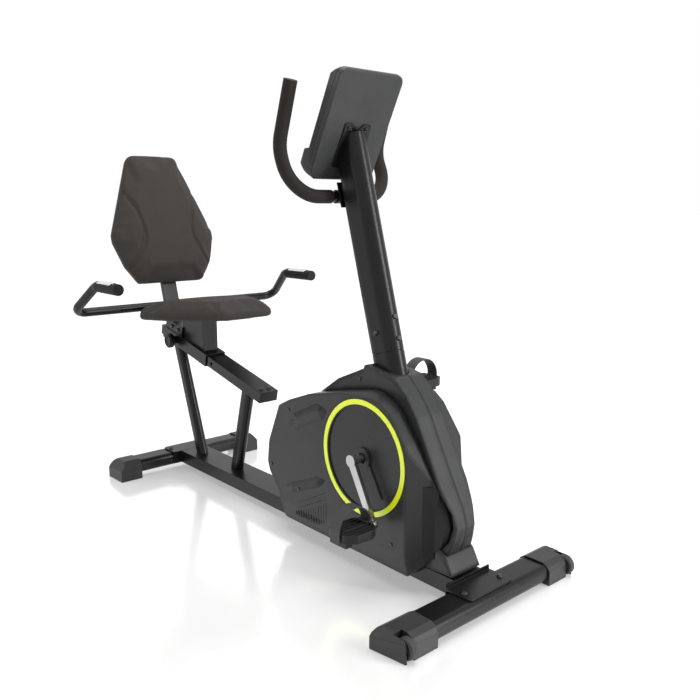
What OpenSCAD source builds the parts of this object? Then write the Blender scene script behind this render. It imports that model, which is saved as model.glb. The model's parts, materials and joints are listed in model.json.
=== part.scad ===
// Recumbent exercise bike. Millimetres, +X towards the console, +Y to the rider's left, +Z up.
// The origin is on the floor, in the middle of the bike's length and width.
// Inside the modules lengths are taken from the crank axis, and bike() moves them to the origin.

/* [Stance] */
// Height of the crank axis above the floor
crank_z = 292; // [284:1:300]
// Distance from the crank axis forward to the middle of the front stabiliser
front_foot_x = 297; // [290:1:350]
// Distance from the crank axis back to the middle of the rear stabiliser
back_foot_x = 1010; // [960:1:1200]
// Overall length of the front stabiliser, over its end caps
front_foot_w = 600; // [480:1:720]
// Overall length of the rear stabiliser, over its end caps
back_foot_w = 532; // [440:1:640]

/* [Base frame] */
// Width of the main rail
rail_w = 92; // [80:1:96]
// Height of the main rail
rail_h = 40; // [36:1:44]
// Underside of the main rail above the floor
rail_z = 22; // [20:1:26]
// Wall thickness of the main rail and the posts
tube_wall = 2.5; // [1.5:0.5:3]
// Front-to-back size of the stabiliser tube
foot_tube_l = 80; // [70:1:88]
// Height of the stabiliser tube
foot_tube_h = 42; // [38:1:43]
// Corner radius of the stabiliser tube
foot_tube_r = 16; // [8:1:18]
// Front-to-back size of an end cap
cap_l = 90; // [88:1:110]
// Length of a front end cap along the stabiliser
front_cap_w = 107; // [80:1:120]
// Height of a front end cap
front_cap_h = 52; // [50:1:54]
// Length of a rear end cap along the stabiliser
back_cap_w = 74; // [66:1:90]
// Height of a rear end cap
back_cap_h = 62; // [60:1:64]
// Thickness of the saddle plates that bolt the rail to the stabilisers
saddle_t = 4; // [3:0.5:5]
// Diameter of a transport wheel
wheel_d = 46; // [40:1:48]
// Width of a transport wheel
wheel_w = 18; // [14:1:20]

/* [Slide rail and posts] */
// Slope of the slide rail, falling towards the front
slide_slope = 13; // [9:0.5:15]
// Length of the slide rail
slide_len = 590; // [540:1:640]
// Width of the slide rail
slide_w = 62; // [56:1:70]
// Height of the slide rail's section
slide_h = 32; // [28:1:38]
// Distance from the crank axis back to the front end of the slide rail
slide_front_x = 512; // [495:1:540]
// Height of the slide rail's top at its front end
slide_front_z = 346; // [330:1:370]
// Travel of the seat along the slide rail
seat_travel = 220; // [100:10:230]
// Front-to-back size of a seat post tube
post_l = 45; // [40:1:50]
// Width of a seat post tube
post_w = 30; // [26:1:34]

/* [Seat] */
// Length of the seat cushion
seat_len = 375; // [340:1:400]
// Width of the seat cushion at its back
seat_back_w = 370; // [330:1:400]
// Width of the seat cushion at its front
seat_front_w = 196; // [170:1:240]
// Thickness of the seat cushion
seat_t = 44; // [40:1:56]
// Tilt of the seat, with its front edge raised
seat_tilt = 4; // [0:1:5]
// Height of the seat cushion's underside at its rear edge
seat_z = 523; // [521:1:540]
// Lean of the backrest behind the vertical
back_lean = 16; // [12:1:20]
// Height of the backrest cushion along its own slope
back_len = 436; // [400:1:480]
// Greatest width of the backrest cushion
back_w = 368; // [330:1:400]
// Thickness of the backrest cushion
back_t = 44; // [36:1:50]
// Outside diameter of the handlebar tubes
bar_d = 27; // [25:0.5:28]
// Outside diameter of the foam grips
foam_d = 33; // [32:0.5:36]
// Distance between the two seat handles, centre to centre
seat_bar_w = 686; // [620:1:760]

/* [Mast and console] */
// Lean of the mast towards the rider
mast_lean = 15.6; // [14:0.2:16.4]
// Front-to-back size of the mast tube
mast_l = 88; // [80:1:92]
// Width of the mast tube
mast_w = 56; // [50:1:58]
// Height of the joint between the lower and the upper mast, on the mast's axis
mast_joint_z = 535; // [528:1:560]
// Distance between the uprights of the front handlebar, centre to centre
front_bar_w = 314; // [300:1:380]
// Height of the front handlebar's cross run
front_bar_z = 902; // [890:1:910]
// Width of the console
console_w = 196; // [190:1:230]
// Height of the console along its own slope
console_len = 270; // [262:1:290]
// Thickness of the console
console_t = 34; // [32:1:42]
// Tilt of the console's face from the vertical
console_tilt = 27; // [24:1:30]

/* [Drive] */
// Length of a crank arm, from the crank axis to the pedal axis
crank_len = 152; // [140:1:160]
// Angle of the right crank arm, from straight forward, turned down
crank_angle = 61.5; // [30:0.5:80]
// Outer face of a crank arm, from the bike's middle
crank_y = 130; // [126:1:140]
// Overall width of the casing
casing_w = 184; // [176:1:190]
// Wall thickness of the casing shells
casing_t = 3; // [2:0.5:4]
// Outside diameter of the coloured ring
ring_d = 284; // [276:1:290]
// Width of the coloured ring
ring_w = 12.5; // [8:0.5:16]
// Pitch diameter of the drive pulley
pulley_d = 232; // [200:1:240]
// Diameter of the flywheel
flywheel_d = 210; // [180:1:215]
// Pitch diameter of the flywheel's pulley
small_pulley_d = 29; // [28:1:40]
// Length of a pedal, along the foot
pedal_l = 84; // [76:1:96]
// Width of a pedal
pedal_w = 92; // [84:1:104]

/* [Clearances] */
// Gap between fixed pieces that fit into each other
fit_gap = 0.3; // [0.2:0.05:0.5]
// Gap between a shaft and its bore
run_gap = 0.05; // [0.02:0.01:0.1]
// Gap between pieces that slide or turn past each other
move_gap = 1; // [0.6:0.1:1.5]

/* [Hidden] */
$fn = 48;

steel = "#17181a";
plastic = "#3c3d3f";
cushion = "#463f3b";
alloy = "#b9bcc0";
accent = "#e2f500";
dark = "#101112";
foam = "#33302e";

// ---- derived places, measured from the crank axis ----
rail_top = rail_z + rail_h;
cap_roof = 4;
wheel_ahead = cap_l / 2 - 11;
wheel_z = 3 + wheel_d / 2;
wheel_y = front_foot_w / 2 - 19 - wheel_w / 2;
slide_wall = 2;
bolt_d = 8;
bolt_head_d = 14;
bolt_head_h = 5;

// where the seat stands on the slide rail at rest
seat_front_x = 610;
seat_run = seat_len * cos(seat_tilt);
back_gap = 74;
back_x = seat_front_x + seat_run + back_gap;
back_z = 628;
board_t = 8;

reach_front = front_foot_x + wheel_ahead + wheel_d / 2;
reach_back = back_x + back_len * sin(back_lean) + (back_t / 2 + fit_gap + board_t) * cos(back_lean);
crank_x = (reach_back - reach_front) / 2;

mast_foot_x = 122;
mast_r = mast_w / 2;
mast_wall = 2.5;
mast_top_z = 1043;
console_x = -62;
console_z = 1182;

arm_t = 12;
crank_in = crank_y - arm_t;
axle_r = 10;
shell_r = 22;
shell_half = 33;
bearing_r = 17.5;
bearing_w = 12;
spindle_r = 7;
pedal_in = crank_y + 8;
pedal_out = pedal_in + pedal_w;
pedal_h = 20;
strap_w = 32;
strap_t = 3;
strap_h = 62;

flywheel_x = -214;
flywheel_z = crank_z - 55;
flywheel_t = 18;
belt_y = 43;
belt_w = 10;
belt_t = 3;
pulley_w = 14;
bracket_in = 18;
bracket_out = 56;
bracket_t = 4;
pin_r = 6;

// ---- frames and general shapes ----
module bike() { translate([crank_x, 0, 0]) children(); }

// the two sides of the bike: children are drawn for the left and mirrored for the right
module both_sides() { for (side = [0, 1]) mirror([0, side, 0]) children(); }

// a cylinder along Y from y0 to y1
module rod_y(r, y0, y1) { translate([0, y0, 0]) rotate([-90, 0, 0]) cylinder(r = r, h = y1 - y0); }

// a flat outline drawn in X and Z, made solid from y0 to y1
module slab_y(y0, y1) {
    translate([0, y1, 0]) rotate([90, 0, 0]) linear_extrude(y1 - y0) children();
}

module obround(l, w) {
    square([l - w, w], center = true);
    for (s = [-1, 1]) translate([s * (l - w) / 2, 0]) circle(d = w);
}

module rounded(l, w, r) {
    square([l - 2 * r, w], center = true);
    square([l, w - 2 * r], center = true);
    for (sx = [-1, 1], sy = [-1, 1])
        translate([sx * (l / 2 - r), sy * (w / 2 - r)]) circle(r);
}

// a button-head bolt: its head above the origin, its shank below
module bolt(length) {
    translate([0, 0, -length]) cylinder(d = bolt_d, h = length + 1);
    cylinder(d1 = bolt_head_d, d2 = bolt_head_d - 4, h = bolt_head_h);
}

function unit(v) = v / norm(v);
function run_of(p, i) = unit(p[i + 1] - p[i]);
function turn_at(p, i) = acos(run_of(p, i - 1) * run_of(p, i));
function cut_at(p, i, bend) = (i == 0 || i == len(p) - 1) ? 0 : bend * tan(turn_at(p, i) / 2);

// a rod of radius r along the runs of path p from point i on, joined by bends of one radius;
// it is drawn up +Z, and side is the direction that +X has in the path's own terms.
// The straight parts are a hair thinner than the bends and reach into them.
lap = 1;
hair = 0.05;
module bent_run(p, r, bend, i, side) {
    run = run_of(p, i);
    last = i == len(p) - 2;
    reach = norm(p[i + 1] - p[i]) - cut_at(p, i, bend) - cut_at(p, i + 1, bend);
    start = i == 0 ? 0 : -lap;
    translate([0, 0, start]) cylinder(r = r - hair, h = reach - start + (last ? 0 : lap));
    if (!last) {
        turn = turn_at(p, i + 1);
        ahead = run_of(p, i + 1);
        toward = unit(ahead - run * (ahead * run));
        translate([0, 0, reach]) rotate([0, 0, atan2(toward * cross(run, side), toward * side)])
            translate([bend, 0, 0]) {
                rotate([-90, 0, 0]) rotate_extrude(angle = turn) translate([-bend, 0]) circle(r);
                rotate([0, turn, 0]) translate([-bend, 0, 0])
                    bent_run(p, r, bend, i + 1, toward * cos(turn) - run * sin(turn));
            }
    }
}
module bent_rod(p, r, bend) {
    run = run_of(p, 0);
    tip = acos(run[2]);
    swing = atan2(run[1], run[0]);
    translate(p[0]) rotate([0, tip, swing])
        bent_run(p, r, bend, 0, [cos(tip) * cos(swing), cos(tip) * sin(swing), -sin(tip)]);
}

// the same path with both ends drawn out by a little, to cut a bore right through
function longer(p, by) = [for (i = [0 : len(p) - 1])
    i == 0 ? p[0] - run_of(p, 0) * by
    : i == len(p) - 1 ? p[i] + run_of(p, i - 1) * by
    : p[i]];
// the path of the right side, from its tip to the middle, for the left side's path
function mirrored(p) = [for (i = [len(p) - 1 : -1 : 0]) [p[i][0], -p[i][1], p[i][2]]];

// a tube bent the same way on both sides, from the path of its left half
module bent_bar(half_path, r, wall, bend) {
    path = concat(mirrored(half_path), half_path);
    difference() {
        bent_rod(path, r, bend);
        bent_rod(longer(path, 1), r - wall, bend);
    }
}

// ---- base frame ----
rail_front_x = front_foot_x - foot_tube_l / 2 - saddle_t;
rail_back_x = -back_foot_x + foot_tube_l / 2 + saddle_t;

// top of a stabiliser tube, under the roof of its end caps
function tube_top(cap_h) = cap_h - cap_roof;

// an angle plate welded to the rail: its top lies on the stabiliser, its flange closes the rail's end
saddle_half = 74;
saddle_bolt_y = 61;
module saddle_plate(cap_h) {
    low = tube_top(cap_h) + fit_gap;
    translate([-foot_tube_l / 2 - saddle_t + fit_gap, 0, 0]) {
        translate([0, 0, low]) linear_extrude(saddle_t) difference() {
            union() {
                translate([36, 0]) rounded(72, 2 * saddle_half, 10);
                translate([0, -saddle_half]) square([12, 2 * saddle_half]);
            }
            for (s = [-1, 1]) translate([foot_tube_l / 2 + saddle_t, s * saddle_bolt_y])
                circle(d = bolt_d + 2 * fit_gap);
        }
        translate([0, -saddle_half, rail_z]) cube([
            saddle_t - 2 * fit_gap, 2 * saddle_half, max(rail_top, low + saddle_t) - rail_z
        ]);
    }
}
module main_rail() {
    color(steel) bike() {
        difference() {
            translate([rail_back_x - 1, -rail_w / 2, rail_z])
                cube([rail_front_x - rail_back_x + 2, rail_w, rail_h]);
            translate([rail_back_x - 2, -rail_w / 2 + tube_wall, rail_z + tube_wall]) cube([
                rail_front_x - rail_back_x + 4, rail_w - 2 * tube_wall, rail_h - 2 * tube_wall
            ]);
        }
        translate([front_foot_x, 0, 0]) saddle_plate(front_cap_h);
        translate([-back_foot_x, 0, 0]) mirror([1, 0, 0]) saddle_plate(back_cap_h);
    }
}

// the stabiliser tube ends this far inside its cap's outer face
tube_inset = 42;
module foot_tube(width, cap_h, grow, reach) {
    translate([0, reach, tube_top(cap_h) - foot_tube_h / 2]) rotate([90, 0, 0])
        linear_extrude(width) rounded(foot_tube_l + 2 * grow, foot_tube_h + 2 * grow, foot_tube_r + grow);
}
module stabiliser(width, cap_h) {
    half = width / 2 - tube_inset;
    color(steel) difference() {
        foot_tube(2 * half, cap_h, 0, half);
        foot_tube(2 * half + 2, cap_h, -2, half + 1);
        for (s = [-1, 1]) translate([0, s * saddle_bolt_y, 20])
            cylinder(d = bolt_d + 2 * fit_gap, h = cap_h);
    }
}
module front_stabiliser() {
    bike() translate([front_foot_x, 0, 0]) stabiliser(front_foot_w, front_cap_h);
}
module back_stabiliser() {
    bike() translate([-back_foot_x, 0, 0]) stabiliser(back_foot_w, back_cap_h);
}

// an end cap for the left end of a stabiliser, its outer face reaching y = half at the back edge
// and skew in from there, with a bevel along its top
module end_cap(half, cap_w, cap_h, skew) {
    bevel_z = cap_h * 0.52;
    difference() {
        intersection() {
            translate([0, half, 0]) rotate([90, 0, 0]) linear_extrude(cap_w) polygon([
                [-cap_l / 2, 0], [cap_l / 2, 0], [cap_l / 2, cap_h - 18], [cap_l / 2 - 6, cap_h - 8],
                [cap_l / 2 - 20, cap_h], [20 - cap_l / 2, cap_h], [6 - cap_l / 2, cap_h - 8],
                [-cap_l / 2, cap_h - 18]
            ]);
            rotate([90, 0, 90]) translate([0, 0, -cap_l / 2]) linear_extrude(cap_l) polygon([
                [half - cap_w, 0], [half, 0], [half, bevel_z], [half - 22, cap_h],
                [half - cap_w, cap_h]
            ]);
            linear_extrude(cap_h) polygon([
                [-cap_l / 2, half - cap_w], [cap_l / 2, half - cap_w], [cap_l / 2, half - skew],
                [-cap_l / 2, half]
            ]);
        }
        foot_tube(cap_w, cap_h, fit_gap, half - tube_inset + 1);
    }
}
module front_caps() {
    slot_in = wheel_y - wheel_w / 2 - move_gap;
    socket_end = front_foot_w / 2 - tube_inset + 1;
    color(plastic) bike() both_sides() translate([front_foot_x, 0, 0]) difference() {
        union() {
            end_cap(front_foot_w / 2, front_cap_w, front_cap_h, 14);
            translate([wheel_ahead, 0, wheel_z]) rod_y(13, socket_end + 2, wheel_y);
        }
        // the slot that the transport wheel stands in
        translate([wheel_ahead - wheel_d / 2 - 3, slot_in, -1])
            cube([wheel_d + 20, wheel_w + 2 * move_gap, wheel_z + wheel_d / 2 + 4]);
        translate([wheel_ahead, 0, wheel_z]) rod_y(4 + fit_gap, socket_end + 4, slot_in + 1);
    }
}
module back_caps() {
    color(plastic) bike() both_sides() translate([-back_foot_x, 0, 0])
        end_cap(back_foot_w / 2, back_cap_w, back_cap_h, 3);
}
module wheel_axles() {
    socket_end = front_foot_w / 2 - tube_inset + 1;
    color(alloy) bike() both_sides() translate([front_foot_x + wheel_ahead, 0, wheel_z])
        rod_y(4, socket_end + 5, wheel_y + wheel_w / 2 - 4);
}
module transport_wheel() {
    translate([front_foot_x + wheel_ahead, wheel_y, wheel_z]) rotate([90, 0, 0]) difference() {
        rotate_extrude() polygon([
            [0, -wheel_w / 2], [wheel_d / 2 - 3, -wheel_w / 2], [wheel_d / 2, 3 - wheel_w / 2],
            [wheel_d / 2, wheel_w / 2 - 3], [wheel_d / 2 - 3, wheel_w / 2], [0, wheel_w / 2]
        ]);
        cylinder(r = 4 + run_gap, h = wheel_w + 2, center = true);
        for (s = [-1, 1]) translate([0, 0, s * wheel_w / 2]) difference() {
            cylinder(d = wheel_d - 12, h = 4, center = true);
            cylinder(r = 8, h = 5, center = true);
        }
    }
}
module wheel_left() { color(dark) bike() transport_wheel(); }
module wheel_right() { color(dark) bike() mirror([0, 1, 0]) transport_wheel(); }

// ---- slide rail and its posts ----
// children are drawn with +X down along the rail, Z off its top, from its front end
module on_slide() {
    translate([-slide_front_x, 0, slide_front_z]) rotate([0, slide_slope, 0]) children();
}
// height of the plane that lies off above the slide rail's top, at distance back behind the crank
function slide_z(back, off) =
    slide_front_z + (back - slide_front_x) * tan(slide_slope) + off / cos(slide_slope);

lock_hole_r = 6;
lock_x = 488;
lock_pitch = 27.5;
lock_holes = floor(seat_travel / lock_pitch + 0.5) + 1;
slide_bolt_x = 18;
slide_bolt_y = 13;
cradle_w = 36;
module slide_bolt_holes(from) {
    for (s = [-1, 1]) translate([-slide_bolt_x, s * slide_bolt_y, from])
        cylinder(d = bolt_d + 2 * fit_gap, h = 3 * slide_h, center = true);
}
module slide_rail() {
    color(steel) bike() on_slide() difference() {
        translate([-slide_len, -slide_w / 2, -slide_h]) cube([slide_len, slide_w, slide_h]);
        translate([-slide_len - 1, slide_wall - slide_w / 2, slide_wall - slide_h])
            cube([slide_len + 2, slide_w - 2 * slide_wall, slide_h - 2 * slide_wall]);
        for (i = [-2 : lock_holes - 1]) translate([i * lock_pitch - lock_x, 0, -slide_h / 2])
            rod_y(lock_hole_r, -slide_w / 2 - 1, 4 - slide_w / 2);
        slide_bolt_holes(0);
    }
}
module slide_rail_caps() {
    color(dark) bike() on_slide() for (end = [0, 1])
        translate([end * -slide_len, 0, -slide_h / 2]) mirror([end, 0, 0]) {
            translate([fit_gap, -slide_w / 2, -slide_h / 2]) cube([5, slide_w, slide_h]);
            translate([-10, slide_wall + fit_gap - slide_w / 2, slide_wall + fit_gap - slide_h / 2])
                cube([12, slide_w - 2 * slide_wall - 2 * fit_gap,
                    slide_h - 2 * slide_wall - 2 * fit_gap]);
        }
}

// a leaning oval post from the main rail up to a cradle under the slide rail
module post(foot_back, top_back, cradle_from, cradle_to) {
    top_z = slide_z(top_back, -slide_h) - 3;
    rise = top_z - rail_top;
    lean = atan((foot_back - top_back) / rise);
    difference() {
        translate([-foot_back, 0, rail_top]) rotate([0, lean, 0]) translate([0, 0, -30])
            linear_extrude(rise / cos(lean) + 60) difference() {
                obround(post_l, post_w);
                obround(post_l - 2 * tube_wall, post_w - 2 * tube_wall);
            }
        translate([-foot_back, 0, 0]) cube([300, 100, 2 * rail_top], center = true);
        on_slide() translate([-slide_len - 50, -50, -slide_h - 3]) cube([slide_len + 200, 100, 200]);
    }
    on_slide() translate([cradle_from, -cradle_w / 2, -slide_h - 4]) difference() {
        cube([cradle_to - cradle_from, cradle_w, 4 - fit_gap]);
        translate([-cradle_from, cradle_w / 2, 0]) slide_bolt_holes(0);
    }
}
front_post_foot = 692;
front_post_top = 616;
back_post_foot = 905;
back_post_top = 1036;
module front_post() { color(steel) bike() post(front_post_foot, front_post_top, -130, -4); }
module back_post() { color(steel) bike() post(back_post_foot, back_post_top, -570, -480); }

// ---- seat carriage ----
carriage_front = 296;
carriage_len = 280;
carriage_t = 3;
carriage_in = slide_w / 2 + move_gap;
lip_y = cradle_w / 2 + 2.5;
upright_front = 829;
upright_l = 128;
upright_w = 52;
seat_base_t = 4;
function seat_plane_z(back, off) =
    seat_z + (seat_front_x + seat_run - back) * tan(seat_tilt) + off / cos(seat_tilt);
module seat_frame() {
    translate([-seat_front_x - seat_run, 0, seat_z]) rotate([0, -seat_tilt, 0]) children();
}
module upright_outline(inset) {
    front = upright_front + inset;
    back = upright_front + upright_l - inset;
    polygon([
        [-front, slide_z(front, move_gap + carriage_t - 1)],
        [-front, seat_plane_z(front, -fit_gap - seat_base_t) - 0.3],
        [-back, seat_plane_z(back, -fit_gap - seat_base_t) - 0.3],
        [-back, slide_z(back, move_gap + carriage_t - 1)]
    ]);
}
wing_x = -566;
wing_l = 108;
wing_h = 32;
wing_t = 4;
wing_bolts = [[-524, 20], [-484, 20]];
module seat_bolt_bores() {
    for (p = wing_bolts) translate([p[0], 0, p[1]]) rod_y(bolt_d / 2 + fit_gap, -100, 100);
}
module seat_bolts() {
    y_out = rest_w / 2 + wing_t + 2 * fit_gap;
    color(alloy) bike() on_slide() for (p = wing_bolts, s = [-1, 1])
        translate([p[0], s * y_out, p[1]]) rotate([-90 * s, 0, 0]) bolt(12);
}
module carriage() {
    out = carriage_in + carriage_t;
    deep = slide_h + 2 * move_gap + carriage_t;
    color(steel) bike() difference() {
        union() {
            on_slide() difference() {
                translate([-carriage_front - carriage_len, -out, -deep + move_gap])
                    cube([carriage_len, 2 * out, deep + carriage_t]);
                translate([-carriage_front - carriage_len - 1, -carriage_in, -slide_h - move_gap])
                    cube([carriage_len + 2, 2 * carriage_in, slide_h + 2 * move_gap]);
                translate([-carriage_front - carriage_len - 1, -lip_y, -deep])
                    cube([carriage_len + 2, 2 * lip_y, deep]);
            }
            // wings that the backrest's foot is bolted between
            on_slide() both_sides()
                translate([wing_x, rest_w / 2 + fit_gap, move_gap + carriage_t - 1])
                    cube([wing_l, wing_t, wing_h]);
            // collar that the lock plunger is screwed into
            on_slide() translate([-lock_x, 0, -slide_h / 2]) rod_y(13, -out - 8, -out);
            slab_y(-upright_w / 2, upright_w / 2) upright_outline(0);
        }
        slab_y(3 - upright_w / 2, upright_w / 2 - 3) upright_outline(3);
        on_slide() translate([-lock_x, 0, -slide_h / 2])
            rod_y(lock_hole_r - 0.5 + run_gap, -out - 9, 1 - carriage_in);
        on_slide() seat_bolt_bores();
    }
}
knob_r = 24;
// how far the plunger goes in, from clear of the rail to home in its hole
lock_throw = 4;
module lock_knob() {
    out = carriage_in + carriage_t + 8 + lock_throw;
    color(dark) bike() on_slide() translate([-lock_x, 0, -slide_h / 2]) {
        // drawn out just clear of the rail, as when the seat is being moved
        rod_y(lock_hole_r - 0.5, -out - 1, -fit_gap - slide_w / 2);
        difference() {
            union() {
                rod_y(knob_r - 4, -out - 20, -out - 1);
                rod_y(knob_r, -out - 17, -out - 6);
            }
            rod_y(knob_r - 8, -out - 21, -out - 18);
        }
    }
}
module seat_base() {
    color(steel) bike() seat_frame() difference() {
        translate([-24, -46, -seat_base_t - fit_gap]) cube([seat_run - 24, 92, seat_base_t]);
        for (x = [60, seat_run - 90], s = [-1, 1]) translate([x, s * 38, 0])
            cylinder(d = bolt_d, h = 20, center = true);
    }
}
module seat_outline(inset) {
    back = seat_back_w / 2;
    front = seat_front_w / 2;
    offset(r = 34 - inset) offset(delta = -34) polygon([
        [0, -back + 24], [0, back - 24], [46, back], [seat_len * 0.5, back * 0.93],
        [seat_len * 0.86, front + 20], [seat_len, front - 8], [seat_len, 8 - front],
        [seat_len * 0.86, -front - 20], [seat_len * 0.5, -back * 0.93], [46, -back]
    ]);
}
module seat_cushion() {
    color(cushion) bike() seat_frame() {
        linear_extrude(seat_t - 12) seat_outline(0);
        translate([0, 0, seat_t - 12.01]) linear_extrude(12.01) seat_outline(9);
    }
}

// ---- backrest: X to the front, Z up along its slope, from the middle of the cushion's foot ----
module back_frame() {
    translate([-back_x, 0, back_z]) rotate([0, -back_lean, 0]) children();
}
module back_outline(inset) {
    half = back_w / 2;
    offset(r = 16 - inset) offset(delta = -16) polygon([
        [-half * 0.63, 0], [half * 0.63, 0], [half * 0.85, back_len * 0.14],
        [half, back_len * 0.33], [half, back_len * 0.39], [half * 0.5, back_len * 0.96],
        [half * 0.44, back_len], [-half * 0.44, back_len], [-half * 0.5, back_len * 0.96],
        [-half, back_len * 0.39], [-half, back_len * 0.33], [-half * 0.85, back_len * 0.14]
    ]);
}
// children's X and Y become the backrest's width and height, from rear offset x0, thick t
module back_slab(x0, t) {
    translate([x0, 0, 0]) rotate([90, 0, 90]) linear_extrude(t) children();
}
module back_cushion() {
    color(cushion) bike() back_frame() {
        back_slab(-back_t / 2, back_t - 10) back_outline(0);
        back_slab(back_t / 2 - 10.01, 10.01) back_outline(8);
    }
}
module backrest_shell() {
    color(plastic) bike() back_frame() back_slab(-back_t / 2 - fit_gap - board_t, board_t)
        back_outline(4);
}

rest_l = 14;
rest_w = 56;
rest_top = 150;
// the backrest's tube is this much narrower than its foot
foot_step = 4;
module backrest_post() {
    face = -back_t / 2 - board_t - 2 * fit_gap;
    foot_low = move_gap + carriage_t + fit_gap;
    tube_w = rest_w - foot_step;
    color(steel) bike() difference() {
        union() {
            difference() {
                back_frame() translate([face - rest_l, -tube_w / 2, -220])
                    cube([rest_l, tube_w, 220 + rest_top]);
                back_frame() translate([face - rest_l + tube_wall, tube_wall - tube_w / 2, -222])
                    cube([rest_l - 2 * tube_wall, tube_w - 2 * tube_wall, 219 + rest_top]);
            }
            // foot, a block that stands between the carriage's wings
            on_slide() translate([wing_x + 4, -rest_w / 2, foot_low - 2])
                cube([wing_l - 14, rest_w, wing_h - 4]);
        }
        on_slide() translate([-slide_len - 300, -100, foot_low - 300]) cube([slide_len + 400, 200, 300]);
        on_slide() seat_bolt_bores();
    }
}

// ---- seat handles ----
seat_bar_back = 1003;
seat_bar_z = 558;
grip_bend_back = 886;
grip_z = 649;
grip_front_back = 741;
seat_bend = 34;
seat_bar_flare = 29;
// path of the left handle, from the end of the cross tube to the tip of the grip
seat_bar_path = [
    [-seat_bar_back, seat_bar_w / 2 + seat_bar_flare, seat_bar_z],
    [-grip_bend_back, seat_bar_w / 2, grip_z],
    [-grip_front_back, seat_bar_w / 2, grip_z]
];
module seat_handlebar() {
    color(steel) bike() {
        bent_bar(seat_bar_path, bar_d / 2, 2, seat_bend);
        // two lugs that stand on the seat base and carry the tube
        difference() {
            seat_frame() for (s = [-1, 1]) translate([-24, s * 36 - 3, 0]) cube([16, 6, 34]);
            translate([-seat_bar_back, 0, seat_bar_z]) rod_y(bar_d / 2 - 1, -60, 60);
        }
    }
}
grip_len = 128;
grip_tip = [-grip_front_back, seat_bar_w / 2, grip_z];
module seat_grips() {
    color(foam) bike() both_sides() difference() {
        translate(grip_tip) rotate([0, 90, 0]) translate([0, 0, -grip_len])
            cylinder(d = foam_d, h = grip_len + 5);
        translate(grip_tip) rotate([0, 90, 0]) translate([0, 0, -grip_len - 1])
            cylinder(r = bar_d / 2 + fit_gap, h = grip_len + 1 + fit_gap);
    }
}
// sensor plates clipped over the top of the grips
module pulse_plates() {
    plate_r = foam_d / 2 + fit_gap;
    color(alloy) bike() both_sides() translate(grip_tip) rotate([0, 90, 0])
        translate([0, 0, 18 - grip_len]) rotate([0, 0, 130]) rotate_extrude(angle = 100)
            translate([plate_r, 0]) square([2, grip_len - 40]);
}

// ---- mast, handlebar and console ----
module mast_frame() {
    translate([mast_foot_x, 0, rail_top]) rotate([0, -mast_lean, 0]) children();
}
joint_h = (mast_joint_z - rail_top) / cos(mast_lean);
mast_top_h = (mast_top_z - rail_top) / cos(mast_lean);
mast_bolt_side_h = joint_h + 50;
mast_bolt_front_h = [joint_h + 28, joint_h + 80];
spigot_down = 60;
spigot_up = 110;
module mast_section(inset) { obround(mast_l - 2 * inset, mast_w - 2 * inset); }
module mast_bolt_bores() {
    for (h = mast_bolt_front_h) translate([0, 0, h]) rotate([0, 90, 0])
        cylinder(d = bolt_d + 2 * fit_gap, h = mast_l);
    translate([0, 0, mast_bolt_side_h]) rod_y(bolt_d / 2 + fit_gap, -mast_w, mast_w);
}
module mast_lower() {
    spigot = mast_wall + fit_gap;
    color(steel) bike() difference() {
        mast_frame() difference() {
            union() {
                translate([0, 0, -30]) linear_extrude(joint_h + 30) difference() {
                    mast_section(0);
                    mast_section(mast_wall);
                }
                translate([0, 0, joint_h - spigot_down]) linear_extrude(spigot_down + spigot_up)
                    difference() {
                        mast_section(mast_wall);
                        mast_section(spigot + 2.5);
                    }
            }
            translate([0, 0, joint_h + fit_gap]) linear_extrude(spigot_up) difference() {
                mast_section(-1);
                mast_section(spigot);
            }
            mast_bolt_bores();
        }
        cube([600, 200, 2 * rail_top], center = true);
        translate([0, 0, crank_z]) rod_y(shell_r + fit_gap, -mast_w, mast_w);
    }
}
// children are drawn with Z up along the console's back and the rider's side at -X
module console_frame() {
    translate([console_x, 0, console_z]) rotate([0, console_tilt, 0]) children();
}
bracket_plate = 3;
module mast_upper() {
    color(steel) bike() difference() {
        mast_frame() difference() {
            translate([0, 0, joint_h + 1]) linear_extrude(mast_top_h - joint_h - 1) difference() {
                mast_section(0);
                mast_section(mast_wall);
            }
            mast_bolt_bores();
            clamp_bolt_bores();
        }
        console_frame() translate([bracket_plate + 2 * fit_gap - 200, -100, -500])
            cube([200, 200, 700]);
    }
}
clamp_h = 62;
clamp_w = 48;
clamp_wall = 3;
bar_off = mast_l / 2 + bar_d / 2 + clamp_wall + fit_gap;
clamp_mid_h = (front_bar_z - rail_top + bar_off * sin(mast_lean)) / cos(mast_lean);
front_bar_x = mast_foot_x - clamp_mid_h * sin(mast_lean) - bar_off * cos(mast_lean);
module at_clamp_bolts() {
    for (s = [-1, 1]) translate([-mast_l / 2, 0, clamp_mid_h + s * (clamp_h / 2 - 7)])
        rotate([0, -90, 0]) children();
}
module clamp_bolt_bores() {
    at_clamp_bolts() cylinder(d = bolt_d + 2 * fit_gap, h = 30, center = true);
}
module handlebar_clamp() {
    color(steel) bike() mast_frame() difference() {
        union() {
            translate([-mast_l / 2 - clamp_wall - fit_gap, -clamp_w / 2, clamp_mid_h - clamp_h / 2])
                cube([clamp_wall, clamp_w, clamp_h]);
            translate([-bar_off, -clamp_w / 2, clamp_mid_h - 12])
                cube([bar_off - mast_l / 2 - clamp_wall, clamp_w, 24]);
            translate([-bar_off, 0, clamp_mid_h])
                rod_y(bar_d / 2 + clamp_wall, -clamp_w / 2, clamp_w / 2);
        }
        translate([-bar_off, 0, clamp_mid_h]) rod_y(bar_d / 2 + fit_gap / 2, -clamp_w, clamp_w);
        clamp_bolt_bores();
    }
}
front_bend = 80;
front_bar_half = front_bar_w / 2;
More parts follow.
